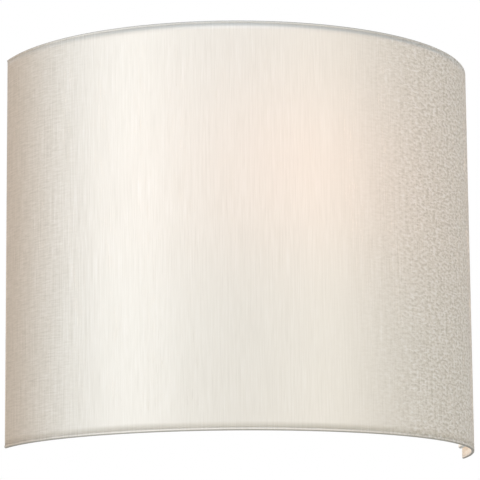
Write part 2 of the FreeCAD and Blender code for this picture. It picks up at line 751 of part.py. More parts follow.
def edge_hem(label, right):
    """The narrow strip of cloth that closes the shade's edge at the wall, beside an upright."""
    body = new_body(label)
    level = "(shade_height / 2 - hem_height - glue_gap)"
    revolve(body, rectangle(HEM_INSIDE, f"({ARC_RADIUS})", "-" + level, level), EDGE_STRIP_ARC,
            away=right)
    turn = f"(90 deg - {HALF_ARC})" if right else f"(90 deg + {HALF_ARC})"
    place(body, "0", ARC_CENTRE, "0", (0, 0, -1), turn)


def wire_ring(label, side):
    """A wire bent to the shade's arc, open at the wall."""
    body = new_body(label)
    bend = new_sketch(body, "XZ_Plane", "wire_section")
    circle(bend, RING_RADIUS, side + RING_LEVEL, "wire_wide")
    turn_sketch(body, bend, f"2 * {RING_HALF_ARC}", middle=True)
    place(body, "0", ARC_CENTRE, "0", (0, 0, -1), "90")


def shade_frame():
    for label, side in (("left_upright", "-"), ("right_upright", "")):
        length = f"({RING_LEVEL} - wire_wide / 2)"
        turned(label, rectangle("0", "wire_wide / 2", "-" + length, length),
               side + UPRIGHT_SIDE, f"-{BAR_OUT}", "0")
    for label, side in (("upper_clip_bar", ""), ("lower_clip_bar", "-")):
        body = new_body(label)
        sketch = new_sketch(body, "YZ_Plane", "bar_section")
        circle(sketch, f"-{BAR_OUT}", side + "clip_up / 2", "wire_wide")
        pad(body, sketch, f"2 * {UPRIGHT_SIDE} - wire_wide", middle=True)
        place(body)


def build():
    wall_plate()
    for label, side, level in (("upper_left_clip", "-", ""), ("upper_right_clip", "", ""),
                               ("lower_left_clip", "-", "-"), ("lower_right_clip", "", "-")):
        shade_clip(label, side, level)
    cable_grommet()
    lamp_arm()
    arm_fixing()
    terminal_block()
    terminal_metal()
    earth_point()
    leads()
    lampholder()
    bulb()
    shade_cloth()
    rolled_hem("top_hem", "")
    rolled_hem("bottom_hem", "-")
    edge_hem("left_edge_hem", False)
    edge_hem("right_edge_hem", True)
    wire_ring("upper_ring", "")
    wire_ring("lower_ring", "-")
    shade_frame()


build()
doc.recompute()
os.makedirs("parts", exist_ok=True)
for thing in doc.Objects:
    if "Invalid" in thing.State or "Error" in thing.State:
        raise RuntimeError(f"{thing.Label}: {thing.State}")
for node in NODES:
    if node.Shape.isNull() or not node.Shape.isValid() or not node.Shape.Solids:
        raise RuntimeError(f"{node.Label}: bad shape")
for node in NODES:
    node.Shape.exportStep(f"parts/{node.Label}.step")
    box = node.Shape.BoundBox
    print(f"{node.Label:18} solids {len(node.Shape.Solids)}  x {box.XMin:.1f} {box.XMax:.1f}"
          f"  y {box.YMin:.1f} {box.YMax:.1f}  z {box.ZMin:.1f} {box.ZMax:.1f}")
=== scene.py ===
import math
import random

import bmesh
import bpy
from mathutils import Matrix, Vector


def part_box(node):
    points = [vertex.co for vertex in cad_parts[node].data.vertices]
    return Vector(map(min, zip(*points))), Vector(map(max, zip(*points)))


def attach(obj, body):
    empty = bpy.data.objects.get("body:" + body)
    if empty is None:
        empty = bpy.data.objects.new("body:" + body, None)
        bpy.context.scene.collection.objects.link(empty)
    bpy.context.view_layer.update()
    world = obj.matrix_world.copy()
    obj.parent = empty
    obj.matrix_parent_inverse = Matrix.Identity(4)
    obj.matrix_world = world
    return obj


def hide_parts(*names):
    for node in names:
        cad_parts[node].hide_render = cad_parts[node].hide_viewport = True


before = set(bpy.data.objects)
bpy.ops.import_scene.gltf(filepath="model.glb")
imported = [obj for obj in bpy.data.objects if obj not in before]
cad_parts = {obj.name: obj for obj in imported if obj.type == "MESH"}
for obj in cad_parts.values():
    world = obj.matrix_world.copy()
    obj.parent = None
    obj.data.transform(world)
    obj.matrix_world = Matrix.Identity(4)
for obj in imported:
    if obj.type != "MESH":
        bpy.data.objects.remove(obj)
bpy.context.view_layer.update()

# A half-round wall light: cream slub silk over a white film on a wire frame, with a lit opal
# bulb inside.  All lengths are metres.  The wall is the plane y = 0, the front faces -Y.

MM = 0.001

# ---------------------------------------------------------------- sizes, from the frame

HEM_LOW, HEM_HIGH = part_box("top_hem")
HALF_WIDTH = HEM_HIGH[0]
SHADE_TOP = HEM_HIGH[2]
SHADE_FRONT = HEM_LOW[1]
HEM_HEIGHT = HEM_HIGH[2] - HEM_LOW[2]
WALL_GAP = 2 * MM           # the back edges' distance from the wall
CLOTH_THICK = 0.5 * MM
HEM_CLOTH = 0.6 * MM
ROLL = 0.8 * MM             # radius of the cloth's turn at an edge
ROLL_DEPTH = 1.6 * MM       # how much of the outside belongs to the turned edge
HEM_COVER = 4.0 * MM        # width at the top where the turned cloth keeps the bulb's light off
SAGITTA = -SHADE_FRONT - WALL_GAP
ARC_RADIUS = (HALF_WIDTH ** 2 + SAGITTA ** 2) / (2 * SAGITTA)
ARC_CENTRE_Y = SHADE_FRONT + ARC_RADIUS
HALF_ARC = math.asin(HALF_WIDTH / ARC_RADIUS)

GLOBE_LOW, GLOBE_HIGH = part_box("bulb_globe")
BULB_AXIS_Y = (GLOBE_LOW[1] + GLOBE_HIGH[1]) / 2
GLOBE_RADIUS = (GLOBE_HIGH[0] - GLOBE_LOW[0]) / 2
GLOW_CENTRE = (0, BULB_AXIS_Y, GLOBE_HIGH[2] - GLOBE_RADIUS)


# ---------------------------------------------------------------- node and mesh helpers

def linear(hex_colour):
    """An sRGB hex value as Blender's linear colour."""
    channels = [int(hex_colour[i:i + 2], 16) / 255 for i in (1, 3, 5)]
    curved = [c / 12.92 if c <= 0.04045 else ((c + 0.055) / 1.055) ** 2.4 for c in channels]
    return (*curved, 1.0)


def add(tree, kind, sockets=None, **settings):
    """Add a node with its settings.  Each socket, by name or number, gets a value, another
    node's output, or another node, which stands for its first output in use."""
    node = tree.nodes.new(kind)
    for name, setting in settings.items():
        setattr(node, name, setting)
    for key, given in (sockets or {}).items():
        if isinstance(given, bpy.types.Node):
            given = next(output for output in given.outputs if output.enabled)
        if isinstance(given, bpy.types.NodeSocket):
            tree.links.new(given, node.inputs[key])
        else:
            node.inputs[key].default_value = given
    return node


def new_material(name):
    material = bpy.data.materials.new(name)
    material.use_nodes = True
    material.node_tree.nodes.clear()
    return material, material.node_tree


def two_tone(tree, pattern, low, high, low_hex, high_hex):
    """A colour that goes from one tone to the other while a pattern goes from low to high."""
    share = add(tree, "ShaderNodeMapRange", {0: pattern, 1: low, 2: high})
    return add(tree, "ShaderNodeMix", {"Factor": share, "A": linear(low_hex), "B": linear(high_hex)},
               data_type="RGBA")


def make_piece(name, vertices, faces, material, smooth=True):
    mesh = bpy.data.meshes.new(name)
    mesh.from_pydata(vertices, [], faces)
    mesh.validate()
    mesh.materials.append(material)
    for polygon in mesh.polygons:
        polygon.use_smooth = smooth
    piece = bpy.data.objects.new(name, mesh)
    bpy.context.scene.collection.objects.link(piece)
    return piece


def grid_faces(rows, columns, close_columns=False, start=0):
    """Quads over a grid of rows of points; the columns may close into a ring."""
    faces = []
    last = columns if close_columns else columns - 1
    for row in range(rows - 1):
        for column in range(last):
            following = (column + 1) % columns
            low, high = start + row * columns, start + (row + 1) * columns
            faces.append((low + column, low + following, high + following, high + column))
    return faces


def outward(piece):
    """Merge doubles and turn the faces of a closed mesh outwards."""
    work = bmesh.new()
    work.from_mesh(piece.data)
    bmesh.ops.remove_doubles(work, verts=work.verts, dist=1e-7)
    bmesh.ops.recalc_face_normals(work, faces=work.faces)
    work.to_mesh(piece.data)
    work.free()


def arc_point(angle, radius, level):
    """A point on the shade's arc; angle 0 is the front and a positive one is to the right."""
    return (radius * math.sin(angle), ARC_CENTRE_Y - radius * math.cos(angle), level)


# ---------------------------------------------------------------- the bulb's light

GLOW_REACH = 69 * MM        # the bulb's centre to the cloth in front of it
GLOW_LOW, GLOW_HIGH = -85 * MM, 10 * MM    # levels between which the holder shades the glow
HOLDER_SHADE = 0.12         # what the holder leaves of the glow
GLOW_POWER = 3.0            # how fast the light that comes through falls off with distance
GLOW_STRENGTH = 0.125
GLOW_HEX = "#ff9150"
INSIDE_LIGHT = 0.82         # the bulb's light on an inner face in front of it
INSIDE_POWER = 0.5          # it falls off slowly, because the white inside passes it on
INSIDE_HEX = "#ffead4"
FULL_FACING = 0.6           # cosine past which a face has all of the bulb's light
FILM_SHARE = 0.65           # the film, which the lamps reach too, needs less of it


def to_bulb(tree, place):
    """The vector from a place to the globe's centre."""
    return add(tree, "ShaderNodeVectorMath", {0: GLOW_CENTRE, 1: place}, operation="SUBTRACT")


def falling_off(tree, offset, power):
    """1 on the cloth in front of the bulb, and less further away."""
    distance = add(tree, "ShaderNodeVectorMath", {0: offset}, operation="LENGTH")
    nearness = add(tree, "ShaderNodeMath", {0: GLOW_REACH, 1: distance}, operation="DIVIDE")
    return add(tree, "ShaderNodeMath", {0: nearness, 1: power}, operation="POWER")


def bulb_glow(tree):
    """How strongly the bulb's light comes through a point of the shade: it falls off with
    distance, and the lampholder shades what is below it."""
    place = add(tree, "ShaderNodeTexCoord").outputs["Object"]
    near = falling_off(tree, to_bulb(tree, place), GLOW_POWER)
    level = add(tree, "ShaderNodeSeparateXYZ", {0: place}).outputs["Z"]
    unshaded = add(tree, "ShaderNodeMapRange", {0: level, 1: GLOW_LOW, 2: GLOW_HIGH, 3: HOLDER_SHADE},
                   interpolation_type="SMOOTHSTEP")
    return add(tree, "ShaderNodeMath", {0: near, 1: unshaded}, operation="MULTIPLY")


def inside_light(tree):
    """The bulb's light on a face that looks towards it, with what the white film sends on."""
    place = add(tree, "ShaderNodeTexCoord").outputs["Object"]
    offset = to_bulb(tree, place)
    way = add(tree, "ShaderNodeVectorMath", {0: offset}, operation="NORMALIZE")
    normal = add(tree, "ShaderNodeNewGeometry").outputs["True Normal"]
    facing = add(tree, "ShaderNodeVectorMath", {0: way, 1: normal}, operation="DOT_PRODUCT")
    seen = add(tree, "ShaderNodeMapRange", {0: facing, 1: 0.0, 2: FULL_FACING, 3: 0.0, 4: INSIDE_LIGHT},
               interpolation_type="SMOOTHSTEP")
    return add(tree, "ShaderNodeMath", {0: seen, 1: falling_off(tree, offset, INSIDE_POWER)},
               operation="MULTIPLY")


# ---------------------------------------------------------------- silk and film

WARP_SPACING = 1.1 * MM     # real warp is near 0.2 mm; drawn coarser so that it shows
WEFT_SPACING = 0.9 * MM
WEAVE = {                   # each thread's size round the shade and up it, then detail and roughness
    "warp": (WARP_SPACING, 38 * MM, 2.0, 0.6),
    "fine_warp": (WARP_SPACING / 2, 14 * MM, 1.0, 0.5),
    "weft": (11 * MM, WEFT_SPACING, 2.0, 0.6),
    "slub": (5 * MM, 1.3 * MM, 3.0, 0.65),
    "fleck": (3.3 * MM, 1.6 * MM, 2.0, 0.7),
}
ZONES = {                   # metres round the arc from its middle where each starts and is full
    "left": (-0.12, -0.17),
    "right": (0.015, 0.135),
    "right_weave": (-0.01, 0.08),
}
FINE_WARP_SHARE = 0.4       # of the lengthwise threads
SLUB_SHARE = 0.4            # of the crosswise threads
FLECK_LEAST, FLECK_MORE = 0.2, 0.6    # their share among those, and what the right adds to it
LEFT_WEAVE = 0.8            # how far the left end turns to crosswise threads, against the right
CROSSWISE_MOST = 0.75
CENTRE_CONTRAST = 0.25      # how much of the weave's contrast is left at the front
LEFT_CONTRAST = 0.9
RIGHT_CONTRAST = 2.7
# the silk's colour follows the weave's height: painted shade at the low end, painted highlight at the
# high end
SHADOW_TONE, BODY_TONE, HIGHLIGHT_TONE = 0.3, 0.5, 0.7    # where each colour of the silk is
THROUGH_VARY = 0.9          # how much the threads vary the light that comes through
SILK_SHINE = 1.0
SILK_IOR = 1.8              # silk's fibres shine more than their index alone tells
# painted shade on the cloth towards the wall, where less light reaches it
END_SHADE_REACH = 82 * MM         # how far from the wall the cloth begins to darken
END_SHADE_HEX = "#d9c9ba"
# painted shade: the cloth turned over the top, unlit from behind, goes towards cool grey at the front
TOP_SHADE = 0.40             # how far the cloth turned over at the top goes to cool grey
TOP_SHADE_HEX = "#b4b5b0"
TOP_BLUR = 1.5 * MM         # over how much height that begins
FRONT_FROM, FRONT_FULL = 70 * MM, 130 * MM    # from the wall, where the top's tint comes in
FRONT_LEAST = 0.1           # what there is of it nearer to the wall
# painted shade on each edge's turn, where the rolled cloth faces away from the lamps
TURN_SHADE = 0.70            # how far an edge darkens on its turn
TURN_SHADE_HEX = "#77756b"
TURN_FROM, TURN_FULL = 1.0 * MM, 0.3 * MM     # from the edge


def silk_relief(tree, flat, across):
    """The weave's height, around 0.  The front, lit through, hides the weave and shows fine warp
    lines; crosswise threads show towards both ends, with slubs and flecks on the right."""
    thread = {}
    for kind, (wide, high, detail, rough) in WEAVE.items():
        scaled = add(tree, "ShaderNodeMapping", {"Vector": flat, "Scale": (1 / wide, 1 / high, 1)})
        thread[kind] = add(tree, "ShaderNodeTexNoise", {"Vector": scaled, "Scale": 1.0, "Detail": detail,
                                                        "Roughness": rough})
    zone = {part: add(tree, "ShaderNodeMapRange", {0: across, 1: start, 2: full},
                      interpolation_type="SMOOTHSTEP")
            for part, (start, full) in ZONES.items()}
    lengthwise = add(tree, "ShaderNodeMix", {"Factor": FINE_WARP_SHARE, "A": thread["warp"],
                                             "B": thread["fine_warp"]})
    crosswise = add(tree, "ShaderNodeMix", {"Factor": SLUB_SHARE, "A": thread["weft"],
                                            "B": thread["slub"]})
    flecked = add(tree, "ShaderNodeMath", {0: zone["right_weave"], 1: FLECK_MORE, 2: FLECK_LEAST},
                  operation="MULTIPLY_ADD")
    crosswise = add(tree, "ShaderNodeMix", {"Factor": flecked, "A": crosswise, "B": thread["fleck"]})
    side = add(tree, "ShaderNodeMath", {0: zone["left"], 1: LEFT_WEAVE, 2: zone["right_weave"]},
               operation="MULTIPLY_ADD")
    turned = add(tree, "ShaderNodeMath", {0: side, 1: CROSSWISE_MOST}, operation="MULTIPLY",
                 use_clamp=True)
    threads = add(tree, "ShaderNodeMix", {"Factor": turned, "A": lengthwise, "B": crosswise})
    contrast = add(tree, "ShaderNodeMath", {0: zone["left"], 1: LEFT_CONTRAST, 2: CENTRE_CONTRAST},
                   operation="MULTIPLY_ADD")
    contrast = add(tree, "ShaderNodeMath", {0: zone["right"], 1: RIGHT_CONTRAST, 2: contrast},
                   operation="MULTIPLY_ADD")
    centred = add(tree, "ShaderNodeMath", {0: threads, 1: BODY_TONE}, operation="SUBTRACT")
    return add(tree, "ShaderNodeMath", {0: centred, 1: contrast}, operation="MULTIPLY")


def silk_edges(tree, colour, up, from_end):
    """The cloth's colour with painted shade at its edges: the turned top, which no light comes through,
    is greyed a little at the front, and every edge is darkened on its very turn.  Returns how far a
    point is in the turned top too."""
    from_top = add(tree, "ShaderNodeMath", {0: SHADE_TOP, 1: up}, operation="SUBTRACT")
    height = add(tree, "ShaderNodeMath", {0: up}, operation="ABSOLUTE")
    from_rim = add(tree, "ShaderNodeMath", {0: SHADE_TOP, 1: height}, operation="SUBTRACT")
    from_edge = add(tree, "ShaderNodeMath", {0: from_rim, 1: from_end}, operation="MINIMUM")
    at_top = add(tree, "ShaderNodeMapRange", {0: from_top, 1: HEM_COVER, 2: HEM_COVER - TOP_BLUR},
                 interpolation_type="SMOOTHSTEP")
    front = add(tree, "ShaderNodeMapRange", {0: from_end, 1: FRONT_FROM, 2: FRONT_FULL, 3: FRONT_LEAST},
                interpolation_type="SMOOTHSTEP")
    top_shade_mask = add(tree, "ShaderNodeMath", {0: at_top, 1: front}, operation="MULTIPLY")
    turn_shade_mask = add(tree, "ShaderNodeMapRange", {0: from_edge, 1: TURN_FROM, 2: TURN_FULL},
                  interpolation_type="SMOOTHSTEP")
    # painted shade, on the top and on every edge's turn
    for part, strength, tint in ((top_shade_mask, TOP_SHADE, TOP_SHADE_HEX), (turn_shade_mask, TURN_SHADE, TURN_SHADE_HEX)):
        share = add(tree, "ShaderNodeMath", {0: part, 1: strength}, operation="MULTIPLY")
        colour = add(tree, "ShaderNodeMix", {"Factor": share, "A": colour, "B": linear(tint)},
                     data_type="RGBA")
    return colour, at_top


def silk_light(tree, relief, at_top):
    """The light that comes through the cloth, less in the threads' hollows and none in the turned
    top, and the light that falls on its inner face."""
    through = add(tree, "ShaderNodeMath", {0: bulb_glow(tree), 1: GLOW_STRENGTH}, operation="MULTIPLY")
    below_top = add(tree, "ShaderNodeMath", {0: 1.0, 1: at_top}, operation="SUBTRACT")
    through = add(tree, "ShaderNodeMath", {0: through, 1: below_top}, operation="MULTIPLY")
    vary = add(tree, "ShaderNodeMath", {0: relief, 1: THROUGH_VARY, 2: 1.0}, operation="MULTIPLY_ADD")
    through = add(tree, "ShaderNodeMath", {0: through, 1: vary}, operation="MULTIPLY")
    outside, inside = (add(tree, "ShaderNodeVectorMath", {0: linear(tint)[:3], "Scale": amount},
                           operation="SCALE")
                       for amount, tint in ((through, GLOW_HEX), (inside_light(tree), INSIDE_HEX)))
    return add(tree, "ShaderNodeVectorMath", {0: outside, 1: inside}, operation="ADD")


def silk_material(name, body_hex, shadow_hex, highlight_hex):
    """Dupioni-like slub silk, woven: silky with a soft broad sheen, cream in the body.  Its colour
    follows the weave's height: the threads' own uneven tone, with painted shade in the hollows between
    threads and painted highlights, small bright flecks, where a slub stands up.  It reads the cloth's
    own map, in metres."""
    material, tree = new_material(name)
    flat = add(tree, "ShaderNodeUVMap", uv_map="cloth")
    spot = add(tree, "ShaderNodeSeparateXYZ", {0: flat})
    across, up = spot.outputs["X"], spot.outputs["Y"]
    relief = silk_relief(tree, flat, across)
    tone = add(tree, "ShaderNodeMath", {0: relief, 1: BODY_TONE}, operation="ADD")
    # the threads' own tone, with painted shade in the hollows and a painted highlight on raised threads
    colour = two_tone(tree, tone, SHADOW_TONE, BODY_TONE, shadow_hex, body_hex)
    highlight_share = add(tree, "ShaderNodeMapRange", {0: tone, 1: BODY_TONE, 2: HIGHLIGHT_TONE})
    colour = add(tree, "ShaderNodeMix", {"Factor": highlight_share, "A": colour, "B": linear(highlight_hex)},
                 data_type="RGBA")
    # painted shade: towards the wall, where the cloth is further from the bulb and less lit through, its
    # base colour is darkened and warmed
    sideways = add(tree, "ShaderNodeMath", {0: across}, operation="ABSOLUTE")
    from_end = add(tree, "ShaderNodeMath", {0: HALF_ARC * ARC_RADIUS, 1: sideways}, operation="SUBTRACT")
    painted_end_shade = add(tree, "ShaderNodeMapRange", {0: from_end, 1: END_SHADE_REACH, 2: 0.0},
                    interpolation_type="SMOOTHSTEP")
    colour = add(tree, "ShaderNodeMix", {"Factor": painted_end_shade, "A": colour, "B": linear(END_SHADE_HEX)},
                 data_type="RGBA", blend_type="MULTIPLY")
    colour, at_top = silk_edges(tree, colour, up, from_end)
    bump = add(tree, "ShaderNodeBump", {"Height": relief, "Strength": 0.55, "Distance": 0.5 * MM})
    rough = add(tree, "ShaderNodeMapRange", {0: tone, 1: 0.35, 2: 0.65, 3: 0.62, 4: 0.5},
                interpolation_type="SMOOTHSTEP")
    surface = add(tree, "ShaderNodeBsdfPrincipled", {
        "Base Color": colour, "Normal": bump, "Roughness": rough, "Sheen Weight": 0.05,
        "Sheen Roughness": 0.4, "Specular IOR Level": SILK_SHINE, "IOR": SILK_IOR,
        "Emission Color": silk_light(tree, relief, at_top), "Emission Strength": 1.0})
    add(tree, "ShaderNodeOutputMaterial", {"Surface": surface})
    return material


def film_material():
    """Self-adhesive styrene film, calendered: smooth, white, and warm where the bulb lights it."""
    material, tree = new_material("shade_film_white_styrene")
    place = add(tree, "ShaderNodeTexCoord").outputs["Object"]
    mottle = add(tree, "ShaderNodeTexNoise", {"Vector": place, "Scale": 90.0, "Detail": 4.0})
    fine = add(tree, "ShaderNodeTexNoise", {"Vector": place, "Scale": 900.0, "Detail": 2.0})
    bump = add(tree, "ShaderNodeBump", {"Height": fine, "Strength": 0.15, "Distance": 0.1 * MM})
    lit = add(tree, "ShaderNodeMath", {0: inside_light(tree), 1: FILM_SHARE}, operation="MULTIPLY")
    surface = add(tree, "ShaderNodeBsdfPrincipled", {
        "Base Color": two_tone(tree, mottle, 0.3, 0.7, "#efe9dc", "#f8f4ea"), "Roughness": 0.5,
        "Normal": bump, "Emission Color": linear(INSIDE_HEX), "Emission Strength": lit})
    add(tree, "ShaderNodeOutputMaterial", {"Surface": surface})
    return material


# ---------------------------------------------------------------- metal, plastic and glass

def enamel_material(name, hex_low, hex_high, rough=0.38, lit=False):
    """Stoved powder enamel on steel: satin, with a faint orange peel.  A lit one is near the bulb."""
    material, tree = new_material(name)
    place = add(tree, "ShaderNodeTexCoord").outputs["Object"]
    cloud = add(tree, "ShaderNodeTexNoise", {"Vector": place, "Scale": 40.0, "Detail": 4.0})
    peel = add(tree, "ShaderNodeTexNoise", {"Vector": place, "Scale": 1100.0, "Detail": 1.0})
    bump = add(tree, "ShaderNodeBump", {"Height": peel, "Strength": 0.25, "Distance": 0.08 * MM})
    sockets = {"Base Color": two_tone(tree, cloud, 0.35, 0.65, hex_low, hex_high), "Roughness": rough,
               "Normal": bump, "Coat Weight": 0.15, "Coat Roughness": 0.2}
    if lit:
        sockets |= {"Emission Color": linear(INSIDE_HEX), "Emission Strength": inside_light(tree)}
    surface = add(tree, "ShaderNodeBsdfPrincipled", sockets)
    add(tree, "ShaderNodeOutputMaterial", {"Surface": surface})
    return material


def metal_material(name, hex_low, hex_high, rough_low, rough_high, grain=(0.6, 0.6, 12)):
    """Plain metal with fine drawing or rolling marks, lengthened along one axis; the grain is in
    millimetres."""
    material, tree = new_material(name)
    place = add(tree, "ShaderNodeTexCoord").outputs["Object"]
    scaled = add(tree, "ShaderNodeMapping", {"Vector": place, "Scale": [1 / (g * MM) for g in grain]})
    marks = add(tree, "ShaderNodeTexNoise", {"Vector": scaled, "Scale": 1.0, "Detail": 3.0,
                                             "Roughness": 0.6})
    blotch = add(tree, "ShaderNodeTexNoise", {"Vector": place, "Scale": 160.0, "Detail": 3.0})
    both = add(tree, "ShaderNodeMix", {"Factor": 0.4, "A": marks, "B": blotch})
    rough = add(tree, "ShaderNodeMapRange", {0: both, 1: 0.3, 2: 0.7, 3: rough_low, 4: rough_high},
                interpolation_type="SMOOTHSTEP")
    bump = add(tree, "ShaderNodeBump", {"Height": marks, "Strength": 0.3, "Distance": 0.04 * MM})
    surface = add(tree, "ShaderNodeBsdfPrincipled", {
        "Base Color": two_tone(tree, both, 0.3, 0.7, hex_low, hex_high), "Metallic": 1.0,
        "Normal": bump, "Roughness": rough})
    add(tree, "ShaderNodeOutputMaterial", {"Surface": surface})
    return material


def plastic_material(name, hex_low, hex_high, rough, grit=0.35, strength=0.3, coat=0.0):
    """Moulded plastic: one even colour with a fine mould texture, its grit in millimetres."""
    material, tree = new_material(name)
    place = add(tree, "ShaderNodeTexCoord").outputs["Object"]
    cloud = add(tree, "ShaderNodeTexNoise", {"Vector": place, "Scale": 70.0, "Detail": 3.0})
    scaled = add(tree, "ShaderNodeMapping", {"Vector": place, "Scale": [1 / (grit * MM)] * 3})
    texture = add(tree, "ShaderNodeTexNoise", {"Vector": scaled, "Scale": 1.0, "Detail": 1.0})
    bump = add(tree, "ShaderNodeBump", {"Height": texture, "Strength": strength, "Distance": 0.05 * MM})
    surface = add(tree, "ShaderNodeBsdfPrincipled", {
        "Base Color": two_tone(tree, cloud, 0.3, 0.7, hex_low, hex_high), "Roughness": rough,
        "Normal": bump, "Coat Weight": coat})
    add(tree, "ShaderNodeOutputMaterial", {"Surface": surface})
    return material


STRIPE_TURN, STRIPE_RISE = 900.0, 500.0    # radians a metre
STRIPE_EDGE = 0.25          # sine past which the stripe begins


def earth_insulation_material():
    """Extruded PVC in green with a yellow stripe that winds slowly round the lead."""
    material, tree = new_material("lead_green_yellow_pvc")
    place = add(tree, "ShaderNodeTexCoord").outputs["Object"]
    spot = add(tree, "ShaderNodeSeparateXYZ", {0: place})
    rise = add(tree, "ShaderNodeMath", {0: spot.outputs["Z"], 1: STRIPE_RISE}, operation="MULTIPLY")
    turn = add(tree, "ShaderNodeMath", {0: spot.outputs["X"], 1: STRIPE_TURN, 2: rise},
               operation="MULTIPLY_ADD")
    wave = add(tree, "ShaderNodeMath", {0: turn}, operation="SINE")
    stripe = add(tree, "ShaderNodeMath", {0: wave, 1: STRIPE_EDGE}, operation="GREATER_THAN")
    surface = add(tree, "ShaderNodeBsdfPrincipled", {
        "Base Color": two_tone(tree, stripe, 0.0, 1.0, "#2f7a2b", "#e6cf2e"), "Roughness": 0.42})
    add(tree, "ShaderNodeOutputMaterial", {"Surface": surface})
    return material


def opal_material():
    """Blown opal globe, lit: even warm white, a little brighter in the middle."""
    material, tree = new_material("bulb_opal_lit")
    place = add(tree, "ShaderNodeTexCoord").outputs["Object"]
    level = add(tree, "ShaderNodeSeparateXYZ", {0: place}).outputs["Z"]
    high = add(tree, "ShaderNodeMapRange", {0: level, 1: GLOBE_LOW[2], 2: GLOW_CENTRE[2], 3: 0.75},
               interpolation_type="SMOOTHSTEP")
    cloud = add(tree, "ShaderNodeTexNoise", {"Vector": place, "Scale": 60.0, "Detail": 3.0})
    uneven = add(tree, "ShaderNodeMapRange", {0: cloud, 1: 0.3, 2: 0.7, 3: 0.96, 4: 1.04},
                 interpolation_type="SMOOTHSTEP")
    strength = add(tree, "ShaderNodeMath", {0: high, 1: uneven}, operation="MULTIPLY")
    surface = add(tree, "ShaderNodeBsdfPrincipled", {
        "Base Color": linear("#fff6e8"), "Roughness": 0.35, "Emission Color": linear("#ffe2b8"),
        "Emission Strength": strength})
    add(tree, "ShaderNodeOutputMaterial", {"Surface": surface})
    return material


def chip_material():
    """Phosphor of a lit chip: yellow, grainy and bright."""
    material, tree = new_material("led_phosphor")
    place = add(tree, "ShaderNodeTexCoord").outputs["Object"]
    grains = add(tree, "ShaderNodeTexNoise", {"Vector": place, "Scale": 800.0, "Detail": 3.0})
    surface = add(tree, "ShaderNodeBsdfPrincipled", {
        "Base Color": two_tone(tree, grains, 0.3, 0.7, "#f0c850", "#ffe08a"), "Roughness": 0.4,
        "Emission Color": linear("#ffe0a0"), "Emission Strength": 1.0})
    add(tree, "ShaderNodeOutputMaterial", {"Surface": surface})
    return material


# body colour, then painted shade for the hollows, then a painted highlight for raised threads
silk = silk_material("slub_silk_cream", "#e6dfd2", "#cbc3b4", "#fbf7f0")
film = film_material()
enamel = enamel_material("white_stoved_enamel", "#e6e3dc", "#efece5")
wire_coat = enamel_material("white_dipped_wire_coat", "#e4e2dc", "#f0eee8", 0.42, lit=True)
zinc = metal_material("bright_zinc_plated_steel", "#a9adb3", "#c9ccd0", 0.25, 0.42)
spring = metal_material("rolled_spring_steel", "#8f9193", "#b4b6b8", 0.28, 0.45, (12, 0.6, 0.6))
brass = metal_material("drawn_brass", "#b08a45", "#d2ab62", 0.25, 0.4)
nickel = metal_material("nickel_plated_brass_cap", "#a8a49a", "#c8c4ba", 0.22, 0.38, (0.6, 0.6, 6))
tin = metal_material("tinned_copper", "#b5b1a8", "#cfccc4", 0.3, 0.45)
solder = metal_material("cast_solder", "#9a9b9e", "#b8b9bc", 0.3, 0.55, (1, 1, 1))
rubber = plastic_material("black_moulded_rubber", "#121212", "#1c1c1b", 0.7, 0.5, 0.5)
nylon = plastic_material("natural_moulded_nylon", "#dedac9", "#e9e5d6", 0.45)
holder_white = plastic_material("white_moulded_thermoplastic", "#e9e6df", "#f1efe9", 0.3, 0.4, 0.12, 0.2)
ceramic = plastic_material("unglazed_steatite_ceramic", "#ddd8cc", "#ebe7dd", 0.6, 0.3, 0.5)
black_glass = plastic_material("black_vitrite_glass", "#08080a", "#101013", 0.15, 1.0, 0.1, 0.4)
collar_white = plastic_material("white_moulded_bulb_body", "#eeeeea", "#f5f5f2", 0.38, 0.5, 0.15)
board_white = plastic_material("white_solder_mask", "#e6e6e2", "#f0f0ec", 0.35)
brown_pvc = plastic_material("lead_brown_pvc", "#4a2716", "#5a3320", 0.42)
blue_pvc = plastic_material("lead_blue_pvc", "#1f4fa0", "#2b5cb0", 0.42)
earth_pvc = earth_insulation_material()
opal = opal_material()
phosphor = chip_material()

NODE_MATERIALS = {
    enamel: ("wall_plate", "lamp_arm"),
    spring: ("upper_left_clip", "upper_right_clip", "lower_left_clip", "lower_right_clip"),
    zinc: ("arm_studs", "arm_washers", "arm_nuts", "terminal_stud", "terminal_nut", "earth_stud",
           "earth_washer", "earth_nut", "arm_nipple", "nipple_nut", "nipple_washer", "terminal_screws"),
    rubber: ("cable_grommet",),
    nylon: ("terminal_block",),
    brass: ("terminal_barrels", "centre_contact"),
    tin: ("earth_tag",),
    brown_pvc: ("live_lead",),
    blue_pvc: ("neutral_lead",),
    earth_pvc: ("earth_lead",),
    holder_white: ("holder_cap", "holder_sleeve"),
    ceramic: ("lamp_carrier",),
    solder: ("bulb_tip",),
    black_glass: ("cap_insulator",),
    collar_white: ("bulb_collar",),
    board_white: ("led_board",),
    phosphor: ("led_chips",),
    opal: ("bulb_globe",),
    film: ("shade_liner",),
    wire_coat: ("upper_ring", "lower_ring", "left_upright", "right_upright", "upper_clip_bar",
                "lower_clip_bar"),
}


def dress_nodes():
    for material, names in NODE_MATERIALS.items():
        for name in names:
            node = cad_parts[name]
            for slot_holder in node.material_slots:
                slot_holder.material = material
            if not node.material_slots:
                node.data.materials.append(material)


# ---------------------------------------------------------------- the shade's cloth

ARC_STEPS = 220
HEIGHT_STEPS = 60
RIPPLE_DEPTH, RIPPLE_RATE = 0.05 * MM, 37    # faint lengthwise ripples, radians for each of the arc
SWAY, SWAY_RATE = 1.3, 22   # how they wander on their way up, radians a metre
TAUT_REACH = 12 * MM        # the rims hold the cloth taut within this
LEAN = 0.7                  # how much of a step outwards the cloth's map counts as height


